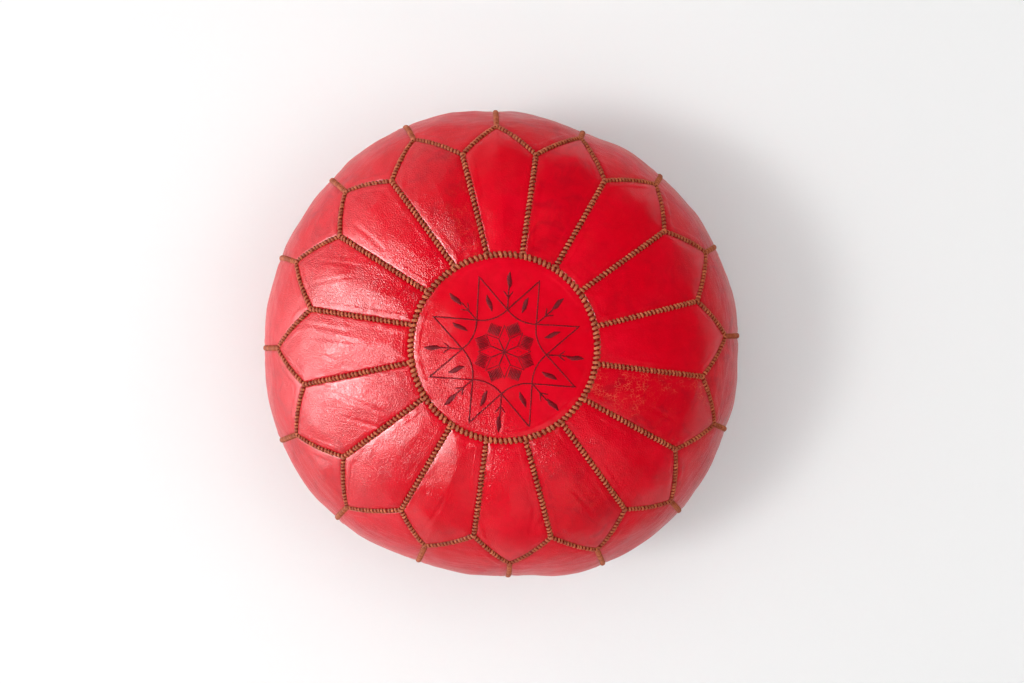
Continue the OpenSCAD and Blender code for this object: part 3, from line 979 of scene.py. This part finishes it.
def leather_material():
    """Red goatskin: dyed unevenly by hand and finely grained, with painted shade in the grain's grooves and
    along the seams.
    """
    m = Shader("red_goatskin")
    tone, gap = m.attribute("tone"), m.attribute("seam_gap")
    cloud = m.noise(11, 3, 0.55)
    mottle = m.noise(85, 5, 0.6)
    speck = m.noise(420, 3, 0.6)
    base = m.mix(m.ramp(cloud, 0.3, 0.7), (0.60, 0.0005, 0.009), (0.68, 0.002, 0.016))
    base = m.mix(m.ramp(mottle, 0.35, 0.75, 0, 0.5), base, (0.50, 0.001, 0.008))
    base = m.mix(m.ramp(speck, 0.55, 0.8, 0, 0.25), base, (0.38, 0.001, 0.006))
    base = m.mix(m.ramp(tone, 0, 1, 0, 0.32), base, (0.44, 0.001, 0.009))
    stain = m.times(m.ramp(m.noise(42, 5, 0.65, 0.9), 0.46, 0.70), m.ramp(tone, 0, 1, 0.15, 0.75))
    base = m.mix(stain, base, (0.33, 0.002, 0.010))
    # Painted shade: darker red near the seams, where the leather turns down under the stitches
    base = m.mix(m.ramp(gap, 2.0, 7.0, 0.35, 0.0), base, (0.42, 0.0, 0.004))
    # Fine scuffs, where the dye has worn off thin lines
    scuff = m.ramp(m.veins(m.noise(38, 6, 0.75, 1.6)), 0.0, 0.006, 1, 0)
    where = m.times(scuff, m.ramp(m.noise(14, 2), 0.50, 0.72, 0, 0.35))
    where = m.times(where, m.ramp(tone, 0, 1, 0.35, 1.3))
    base = m.mix(where, base, (0.72, 0.13, 0.05))
    # The goat's grain: pebbles pulled along by the stretch of the skin, over soft wrinkles
    pull = m.add("ShaderNodeTexNoise", {"Vector": m.place, "Scale": 22.0, "Detail": 2.0}).outputs["Color"]
    pull = m.add("ShaderNodeVectorMath", {0: pull, "Scale": 0.012}, operation="SCALE").outputs[0]
    bent = m.add("ShaderNodeVectorMath", {0: m.place, 1: pull}, operation="ADD").outputs[0]
    pebbles = m.ramp(m.cells(470, bent), 0.0, 0.34)
    # Hairline crackle where the finish has dried, most of it on the duller hides
    hairs = m.ramp(m.cells(330, bent), 0.0, 0.10, 1, 0)
    dried = m.times(m.ramp(m.noise(21, 3, 0.6), 0.44, 0.60), m.ramp(m.noise(150, 2), 0.40, 0.62))
    dried = m.times(dried, m.ramp(tone, 0.65, 0.95, 0.04, 0.55))
    base = m.mix(m.times(hairs, dried), base, (0.72, 0.14, 0.07))
    wrinkle = m.veins(m.noise(130, 3, 0.6, 1.4))
    coarse = m.times(m.attribute("coarse"), m.ramp(m.noise(17, 2), 0.35, 0.65, 0.6, 1.0))
    away = m.ramp(gap, 3.0, 8.0, 0.2, 1.0)
    skin = m.bump(m.noise(40, 2), 0.0006, 0.4)
    skin = m.bump(wrinkle, 0.0007, coarse, skin)
    skin = m.bump(pebbles, 0.00024, m.times(coarse, away), skin)
    patchy = m.plus(m.times(mottle, 0.6), m.times(cloud, 0.4))
    # Painted shade: how deep each place lies in the grooves between the grain's pebbles
    painted_groove_shade = m.times(m.ramp(pebbles, 0.15, 0.6, 1.0, 0.0), coarse)
    rough = m.plus(m.ramp(patchy, 0.3, 0.7, 0.17, 0.24), m.times(coarse, 0.03))
    # The sides are handled most: duller, and finely creased around the pouf
    handled = m.attribute("handled")
    rough = m.plus(rough, m.times(handled, 0.16))
    round_creases = m.noise(24, 5, 0.6, 0.3, m.stretched(1, 1, 5))
    skin = m.bump(round_creases, 0.0022, m.times(handled, 0.5), skin)
    # Painted shade: the grain's grooves darkened to a deeper red
    base = m.mix(m.times(painted_groove_shade, 0.3), base, (0.36, 0.0, 0.004))
    return m.finish(Base_Color=base, Roughness=rough, Normal=skin, IOR=1.5, Specular_IOR_Level=0.32,
                    Coat_Weight=0.05, Coat_Roughness=0.15)


def thread_material():
    """Thick waxed brown thread, each stitch its own shade, with twisted fibres."""
    m = Shader("seam_thread")
    mark = m.attribute("mark")
    base = m.mix(m.ramp(mark, 0, 1), (0.34, 0.072, 0.026), (0.54, 0.140, 0.054))
    base = m.mix(m.ramp(m.noise(900, 3), 0.35, 0.7, 0, 0.45), base, (0.20, 0.036, 0.012))
    skin = m.bump(m.noise(2600, 2, 0.6, 0.4), 0.00025, 0.8)
    return m.finish(Base_Color=base, Roughness=0.6, Normal=skin, Specular_IOR_Level=0.22,
                    Sheen_Weight=0.08, Sheen_Roughness=0.4)


def painted_shade_welt_material():
    """The raised leather edges under the stitches: painted dark brown for the shade that falls between the
    stitches.
    """
    m = Shader("seam_welt_painted_shade")
    base = m.mix(m.noise(500, 3), (0.13, 0.007, 0.004), (0.25, 0.014, 0.007))
    skin = m.bump(m.noise(900, 3), 0.0003, 0.6)
    return m.finish(Base_Color=base, Roughness=0.8, Normal=skin, Specular_IOR_Level=0.05)


def silk_material():
    """Maroon embroidery silk."""
    m = Shader("embroidery_silk")
    base = m.mix(m.ramp(m.attribute("mark"), 0, 1), (0.10, 0.001, 0.004), (0.20, 0.004, 0.010))
    skin = m.bump(m.noise(3500, 2, 0.6, 0.3), 0.00015, 0.7)
    return m.finish(Base_Color=base, Roughness=0.55, Normal=skin, Specular_IOR_Level=0.15)


def tape_material():
    """Dark red woven zip tape, in a fine herringbone."""
    m = Shader("zip_tape_weave")
    weave = m.weave(X=9000.0, Y=7800.0)
    base = m.mix(m.ramp(weave, -1, 1), (0.07, 0.006, 0.008), (0.17, 0.012, 0.018))
    return m.finish(Base_Color=base, Roughness=0.8, Normal=m.bump(weave, 0.00012, 0.8), Sheen_Weight=0.3)


def coil_material():
    """The zip's dark red nylon coil."""
    m = Shader("zip_coil_nylon")
    base = m.mix(m.noise(300, 2), (0.09, 0.006, 0.010), (0.15, 0.010, 0.014))
    return m.finish(Base_Color=base, Roughness=0.35, Normal=m.bump(m.noise(1500, 2), 0.00005, 0.5))


def brass_material():
    """The slider's brass: brushed, with a dull patina in patches."""
    m = Shader("zip_brass")
    brushed = m.noise(1.0, 3, 0.6, 0.0, m.stretched(300, 4000, 2000))
    worn = m.ramp(m.noise(260, 4), 0.35, 0.7)
    base = m.mix(worn, (0.55, 0.38, 0.16), (0.80, 0.60, 0.32))
    rough = m.ramp(brushed, 0.3, 0.7, 0.22, 0.42)
    return m.finish(Base_Color=base, Roughness=rough, Metallic=1.0, Normal=m.bump(brushed, 0.00004, 0.6))


def cloth_material():
    """Unbleached cotton of the inner bag."""
    m = Shader("inner_bag_cotton")
    weave = m.weave(X=5200.0, Z=5200.0)
    base = m.mix(m.noise(30, 4), (0.62, 0.55, 0.43), (0.78, 0.72, 0.60))
    return m.finish(Base_Color=base, Roughness=0.9, Normal=m.bump(weave, 0.0002, 0.7), Sheen_Weight=0.2)


def stuffing_material():
    """Loose off-white cotton."""
    m = Shader("stuffing_cotton")
    lint = m.noise(240, 6, 0.7)
    base = m.mix(lint, (0.72, 0.68, 0.60), (0.86, 0.84, 0.79))
    return m.finish(Base_Color=base, Roughness=1.0, Normal=m.bump(lint, 0.002, 0.8), Sheen_Weight=0.3)


def floor_material():
    """Matt white studio floor."""
    m = Shader("white_floor")
    base = m.mix(m.noise(1.5, 2), (0.80, 0.80, 0.80), (0.81, 0.81, 0.81))
    return m.finish(Base_Color=base, Roughness=0.6, Normal=m.bump(m.noise(60, 3), 0.0002, 0.2))


# -------- the set
CAMERA_LENS = 58.0
CAMERA_TURN = (-0.6, -2.1, 0.0)
CAMERA_AIM = Vector((0.0110, 0.0028, 0.165))
CAMERA_FAR = 1.835
WALL_LIGHT = 0.08
WINDOW_WALL_LIGHT = 2.3
CEILING_LIGHT = 0.02


def set_camera():
    """A camera over the pouf that looks almost straight down."""
    data = bpy.data.cameras.new("camera")
    data.lens = CAMERA_LENS
    camera = add_object("camera", data)
    turn = Euler([math.radians(a) for a in CAMERA_TURN])
    camera.rotation_euler = turn
    camera.location = CAMERA_AIM - turn.to_matrix() @ Vector((0, 0, -1)) * CAMERA_FAR
    bpy.context.scene.camera = camera


def set_light(name, azimuth, elevation, far, size, power, fill=True, shine=True):
    """A soft rectangular light: without fill it makes only highlights, without shine it makes none."""
    aim = Vector((0, 0, 0.15))
    flat = math.cos(math.radians(elevation))
    way = Vector((*polar(flat, azimuth), math.sin(math.radians(elevation))))
    data = bpy.data.lights.new(name, "AREA")
    data.shape = "RECTANGLE"
    data.size, data.size_y = size
    data.energy = power
    light = add_object(name, data)
    light.location = aim + way * far
    light.rotation_euler = (-way).to_track_quat("-Z", "Y").to_euler()
    light.visible_diffuse = fill
    light.visible_glossy = shine
    # Without this, a light that isn't to shine still shows faintly in the leather's polish
    data.cycles.use_multiple_importance_sampling = shine


def studio_world():
    """A dark ceiling over pale walls, the one at the left a bright window wall."""
    world = bpy.data.worlds.new("studio")
    world.use_nodes = True
    tree = world.node_tree
    background = tree.nodes["Background"].inputs
    way = tree.nodes.new("ShaderNodeTexCoord").outputs["Generated"]
    apart = tree.nodes.new("ShaderNodeSeparateXYZ")
    tree.links.new(way, apart.inputs["Vector"])
    both = tree.nodes.new("ShaderNodeMath")
    both.operation = "MULTIPLY"
    spans = (("Z", 0.1, 0.7, 1.0, CEILING_LIGHT), ("X", -0.9, 0.2, WINDOW_WALL_LIGHT, WALL_LIGHT))
    for k, (axis, low, high, at_low, at_high) in enumerate(spans):
        fade = tree.nodes.new("ShaderNodeMapRange")
        fade.interpolation_type = "SMOOTHSTEP"
        tree.links.new(apart.outputs[axis], fade.inputs["Value"])
        for name, value in (("From Min", low), ("From Max", high), ("To Min", at_low), ("To Max", at_high)):
            fade.inputs[name].default_value = value
        tree.links.new(fade.outputs["Result"], both.inputs[k])
    tree.links.new(both.outputs[0], background["Strength"])
    background["Color"].default_value = (1.0, 1.0, 1.0, 1.0)
    return world


def set_stage():
    """The white floor, the room's light and the lamps."""
    scene = bpy.context.scene
    scene.view_settings.view_transform = "Standard"
    scene.world = studio_world()
    x = np.linspace(-8, 8, 9)
    gx, gy = np.meshgrid(x, x)
    points = np.stack([gx, gy, 0 * gx], -1).reshape(-1, 3)
    floor = make_mesh("floor", points, grid_faces(9, 9).tolist(), floor_material())
    set_light("key", 188, 56, 5.0, (1.05, 1.05), 93, shine=False)
    for k, power in enumerate((64, 32, 30, 32)):
        set_light(f"overhead_{k + 1}", 10 + 90 * k, 62, 4.0, (3.0, 3.0), power, shine=False)
    set_light("sheen", 168, 38, 6.5, (4.0, 3.0), 250, fill=False)
    set_light("sheen_core", 182, 38, 6.5, (2.5, 1.9), 520, fill=False)
    set_light("high_sheen", 207, 57, 6.0, (1.6, 1.6), 210, fill=False)
    set_light("front_sheen", 288, 46, 5.0, (3.0, 2.6), 26, fill=False)
    set_light("left_wall", 189, 14, 5.0, (3.6, 1.8), 220, fill=False)


# -------- everything together
set_camera()
set_stage()
leather = leather_material()
medallion(leather)
for i in range(PETALS):
    petal(i, False, leather)
    side_panel(i, leather)
    petal(i, True, leather)
tape_cloth, coil_nylon = tape_material(), coil_material()
for side in (-1, 1):
    base_half(side, leather)
    zip_side(side, tape_cloth, coil_nylon)
sew(thread_material(), painted_shade_welt_material())
embroider(silk_material())
filled_bag("inner_bag_cloth", "inner_bag", 3.0 * MM, 0.4 * MM, 40 * MM, 51, cloth_material())
filled_bag("stuffing_cotton", "stuffing", 6.0 * MM, 1.2 * MM, 25 * MM, 52, stuffing_material())
brass = brass_material()
for node in ("zip_slider", "zip_pull"):
    for material_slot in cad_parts[node].material_slots:
        material_slot.material = brass
